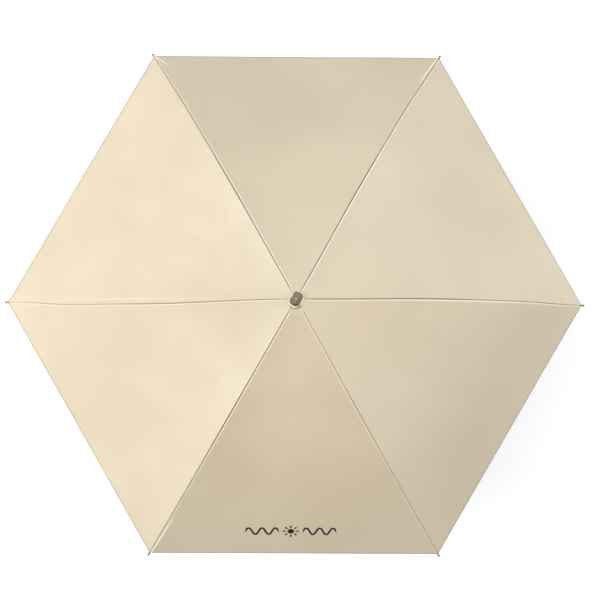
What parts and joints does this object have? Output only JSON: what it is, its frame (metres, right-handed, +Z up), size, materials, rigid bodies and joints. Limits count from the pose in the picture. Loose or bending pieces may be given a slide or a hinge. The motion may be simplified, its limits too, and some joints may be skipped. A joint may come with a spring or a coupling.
{
  "type": "folding umbrella",
  "caption": "Compact folding umbrella with a flat telescopic shaft, jointed three-fold ribs, a sliding runner with a latch button and a hexagonal cloth canopy.",
  "frame": {"origin": "centre of the handle's flat underside, on the shaft's axis", "axes": "+Z up the shaft to the crown, +X along the long side of the oblong shaft and crown cap, which is the direction of rib 1"},
  "size_m": [0.8824, 0.7646, 0.5548],
  "materials": {
    "canopy_fabric": "satin coated cloth",
    "cap_metal": "antiqued",
    "rivet": "polished",
    "rosette_cloth": "matt",
    "dark_plastic": "fine texture",
    "handle_plastic": "soft touch",
    "tube_chrome": "polished",
    "rib_steel": "plated",
    "pin_steel": "bright",
    "button_plastic": "moulded"
  },
  "bodies": {
    "handle": {"handle_end_cap": "handle_plastic", "handle_grip": "handle_plastic", "handle_core": "dark_plastic", "handle_pin": "pin_steel", "handle_collar": "dark_plastic", "lower_tube": "tube_chrome"},
    "middle_shaft": {"middle_tube": "tube_chrome", "middle_tube_collar": "dark_plastic"},
    "upper_shaft": {"upper_tube": "tube_chrome", "upper_tube_collar": "dark_plastic", "crown": "dark_plastic", "crown_hinge_pins": "pin_steel", "crown_cap": "cap_metal", "cap_rivet": "rivet", "rosette": "rosette_cloth", "canopy_panel_1": "canopy_fabric", "canopy_panel_2": "canopy_fabric", "canopy_panel_3": "canopy_fabric", "canopy_panel_4": "canopy_fabric", "canopy_panel_5": "canopy_fabric", "canopy_panel_6": "canopy_fabric"},
    "runner": {"runner": "dark_plastic", "runner_hinge_pins": "pin_steel"},
    "latch_button": {"latch_button": "button_plastic"},
    "top_rib_1": {"top_rib_1": "rib_steel"},
    "stretcher_1": {"stretcher_1": "rib_steel"},
    "middle_rib_1": {"middle_rib_1": "rib_steel"},
    "outer_rib_1": {"outer_rib_1": "rib_steel", "rib_tip_1": "dark_plastic"},
    "top_rib_2": {"top_rib_2": "rib_steel"},
    "stretcher_2": {"stretcher_2": "rib_steel"},
    "middle_rib_2": {"middle_rib_2": "rib_steel"},
    "outer_rib_2": {"outer_rib_2": "rib_steel", "rib_tip_2": "dark_plastic"},
    "top_rib_3": {"top_rib_3": "rib_steel"},
    "stretcher_3": {"stretcher_3": "rib_steel"},
    "middle_rib_3": {"middle_rib_3": "rib_steel"},
    "outer_rib_3": {"outer_rib_3": "rib_steel", "rib_tip_3": "dark_plastic"},
    "top_rib_4": {"top_rib_4": "rib_steel"},
    "stretcher_4": {"stretcher_4": "rib_steel"},
    "middle_rib_4": {"middle_rib_4": "rib_steel"},
    "outer_rib_4": {"outer_rib_4": "rib_steel", "rib_tip_4": "dark_plastic"},
    "top_rib_5": {"top_rib_5": "rib_steel"},
    "stretcher_5": {"stretcher_5": "rib_steel"},
    "middle_rib_5": {"middle_rib_5": "rib_steel"},
    "outer_rib_5": {"outer_rib_5": "rib_steel", "rib_tip_5": "dark_plastic"},
    "top_rib_6": {"top_rib_6": "rib_steel"},
    "stretcher_6": {"stretcher_6": "rib_steel"},
    "middle_rib_6": {"middle_rib_6": "rib_steel"},
    "outer_rib_6": {"outer_rib_6": "rib_steel", "rib_tip_6": "dark_plastic"}
  },
  "joints": [
    {"name": "middle_tube_slide", "type": "slide", "parent": "handle", "child": "middle_shaft", "axis": [0, 0, -1], "range_m": [0, 0.1175]},
    {"name": "upper_tube_slide", "type": "slide", "parent": "middle_shaft", "child": "upper_shaft", "axis": [0, 0, -1], "range_m": [0, 0.1175]},
    {"name": "runner_slide", "type": "slide", "parent": "upper_shaft", "child": "runner", "axis": [0, 0, -1], "range_m": [0, 0.09151], "deforming": ["canopy_panel_1", "canopy_panel_2", "canopy_panel_3", "canopy_panel_4", "canopy_panel_5", "canopy_panel_6"]},
    {"name": "latch_press", "type": "slide", "parent": "runner", "child": "latch_button", "axis": [0, -1, 0], "range_m": [0, 0.0012], "stiffness_N_per_m": 600, "springref_m": -0.0005},
    {"name": "crown_hinge_1", "type": "hinge", "parent": "upper_shaft", "child": "top_rib_1", "pos_m": [0.0095, 0, 0.546], "axis": [0, 1, 0], "range_deg": [0, 80.44]},
    {"name": "knee_hinge_1", "type": "hinge", "parent": "top_rib_1", "child": "middle_rib_1", "pos_m": [0.152, 0, 0.52724], "axis": [0, 1, 0], "range_deg": [-188.82, 0]},
    {"name": "elbow_hinge_1", "type": "hinge", "parent": "middle_rib_1", "child": "outer_rib_1", "pos_m": [0.258, 0, 0.48866], "axis": [0, 1, 0], "range_deg": [0, 164.02]},
    {"name": "stretcher_hinge_1", "type": "hinge", "parent": "top_rib_1", "child": "stretcher_1", "pos_m": [0.08067, 0, 0.53507], "axis": [0, 1, 0], "range_deg": [-125.39, 0]},
    {"name": "crown_hinge_2", "type": "hinge", "parent": "upper_shaft", "child": "top_rib_2", "pos_m": [0.0038, 0.00658, 0.546], "axis": [-0.866, 0.5, 0], "range_deg": [0, 80.55]},
    {"name": "knee_hinge_2", "type": "hinge", "parent": "top_rib_2", "child": "middle_rib_2", "pos_m": [0.076, 0.13164, 0.52724], "axis": [-0.866, 0.5, 0], "range_deg": [-188.92, 0]},
    {"name": "elbow_hinge_2", "type": "hinge", "parent": "middle_rib_2", "child": "outer_rib_2", "pos_m": [0.129, 0.22343, 0.48866], "axis": [-0.866, 0.5, 0], "range_deg": [0, 164.02]},
    {"name": "stretcher_hinge_2", "type": "hinge", "parent": "top_rib_2", "child": "stretcher_2", "pos_m": [0.03939, 0.06823, 0.5352], "axis": [-0.866, 0.5, 0], "range_deg": [-125.45, 0]},
    {"name": "crown_hinge_3", "type": "hinge", "parent": "upper_shaft", "child": "top_rib_3", "pos_m": [-0.0038, 0.00658, 0.546], "axis": [-0.866, -0.5, 0], "range_deg": [0, 80.55]},
    {"name": "knee_hinge_3", "type": "hinge", "parent": "top_rib_3", "child": "middle_rib_3", "pos_m": [-0.076, 0.13164, 0.52724], "axis": [-0.866, -0.5, 0], "range_deg": [-188.92, 0]},
    {"name": "elbow_hinge_3", "type": "hinge", "parent": "middle_rib_3", "child": "outer_rib_3", "pos_m": [-0.129, 0.22343, 0.48866], "axis": [-0.866, -0.5, 0], "range_deg": [0, 164.02]},
    {"name": "stretcher_hinge_3", "type": "hinge", "parent": "top_rib_3", "child": "stretcher_3", "pos_m": [-0.03939, 0.06823, 0.5352], "axis": [-0.866, -0.5, 0], "range_deg": [-125.45, 0]},
    {"name": "crown_hinge_4", "type": "hinge", "parent": "upper_shaft", "child": "top_rib_4", "pos_m": [-0.0095, 0, 0.546], "axis": [0, -1, 0], "range_deg": [0, 80.44]},
    {"name": "knee_hinge_4", "type": "hinge", "parent": "top_rib_4", "child": "middle_rib_4", "pos_m": [-0.152, 0, 0.52724], "axis": [0, -1, 0], "range_deg": [-188.82, 0]},
    {"name": "elbow_hinge_4", "type": "hinge", "parent": "middle_rib_4", "child": "outer_rib_4", "pos_m": [-0.258, 0, 0.48866], "axis": [0, -1, 0], "range_deg": [0, 164.02]},
    {"name": "stretcher_hinge_4", "type": "hinge", "parent": "top_rib_4", "child": "stretcher_4", "pos_m": [-0.08067, 0, 0.53507], "axis": [0, -1, 0], "range_deg": [-125.39, 0]},
    {"name": "crown_hinge_5", "type": "hinge", "parent": "upper_shaft", "child": "top_rib_5", "pos_m": [-0.0038, -0.00658, 0.546], "axis": [0.866, -0.5, 0], "range_deg": [0, 80.55]},
    {"name": "knee_hinge_5", "type": "hinge", "parent": "top_rib_5", "child": "middle_rib_5", "pos_m": [-0.076, -0.13164, 0.52724], "axis": [0.866, -0.5, 0], "range_deg": [-188.92, 0]},
    {"name": "elbow_hinge_5", "type": "hinge", "parent": "middle_rib_5", "child": "outer_rib_5", "pos_m": [-0.129, -0.22343, 0.48866], "axis": [0.866, -0.5, 0], "range_deg": [0, 164.02]},
    {"name": "stretcher_hinge_5", "type": "hinge", "parent": "top_rib_5", "child": "stretcher_5", "pos_m": [-0.03939, -0.06823, 0.5352], "axis": [0.866, -0.5, 0], "range_deg": [-125.45, 0]},
    {"name": "crown_hinge_6", "type": "hinge", "parent": "upper_shaft", "child": "top_rib_6", "pos_m": [0.0038, -0.00658, 0.546], "axis": [0.866, 0.5, 0], "range_deg": [0, 80.55]},
    {"name": "knee_hinge_6", "type": "hinge", "parent": "top_rib_6", "child": "middle_rib_6", "pos_m": [0.076, -0.13164, 0.52724], "axis": [0.866, 0.5, 0], "range_deg": [-188.92, 0]},
    {"name": "elbow_hinge_6", "type": "hinge", "parent": "middle_rib_6", "child": "outer_rib_6", "pos_m": [0.129, -0.22343, 0.48866], "axis": [0.866, 0.5, 0], "range_deg": [0, 164.02]},
    {"name": "stretcher_hinge_6", "type": "hinge", "parent": "top_rib_6", "child": "stretcher_6", "pos_m": [0.03939, -0.06823, 0.5352], "axis": [0.866, 0.5, 0], "range_deg": [-125.45, 0]}
  ],
  "couplings": [
    {"joint": "crown_hinge_1", "follows": "runner_slide", "rad_per_m": 15.342},
    {"joint": "knee_hinge_1", "follows": "runner_slide", "rad_per_m": -36.012},
    {"joint": "elbow_hinge_1", "follows": "runner_slide", "rad_per_m": 31.282},
    {"joint": "stretcher_hinge_1", "follows": "runner_slide", "rad_per_m": -23.916},
    {"joint": "crown_hinge_2", "follows": "runner_slide", "rad_per_m": 15.363},
    {"joint": "knee_hinge_2", "follows": "runner_slide", "rad_per_m": -36.032},
    {"joint": "elbow_hinge_2", "follows": "runner_slide", "rad_per_m": 31.282},
    {"joint": "stretcher_hinge_2", "follows": "runner_slide", "rad_per_m": -23.927},
    {"joint": "crown_hinge_3", "follows": "runner_slide", "rad_per_m": 15.363},
    {"joint": "knee_hinge_3", "follows": "runner_slide", "rad_per_m": -36.032},
    {"joint": "elbow_hinge_3", "follows": "runner_slide", "rad_per_m": 31.282},
    {"joint": "stretcher_hinge_3", "follows": "runner_slide", "rad_per_m": -23.927},
    {"joint": "crown_hinge_4", "follows": "runner_slide", "rad_per_m": 15.342},
    {"joint": "knee_hinge_4", "follows": "runner_slide", "rad_per_m": -36.012},
    {"joint": "elbow_hinge_4", "follows": "runner_slide", "rad_per_m": 31.282},
    {"joint": "stretcher_hinge_4", "follows": "runner_slide", "rad_per_m": -23.916},
    {"joint": "crown_hinge_5", "follows": "runner_slide", "rad_per_m": 15.363},
    {"joint": "knee_hinge_5", "follows": "runner_slide", "rad_per_m": -36.032},
    {"joint": "elbow_hinge_5", "follows": "runner_slide", "rad_per_m": 31.282},
    {"joint": "stretcher_hinge_5", "follows": "runner_slide", "rad_per_m": -23.927},
    {"joint": "crown_hinge_6", "follows": "runner_slide", "rad_per_m": 15.363},
    {"joint": "knee_hinge_6", "follows": "runner_slide", "rad_per_m": -36.032},
    {"joint": "elbow_hinge_6", "follows": "runner_slide", "rad_per_m": 31.282},
    {"joint": "stretcher_hinge_6", "follows": "runner_slide", "rad_per_m": -23.927}
  ]
}
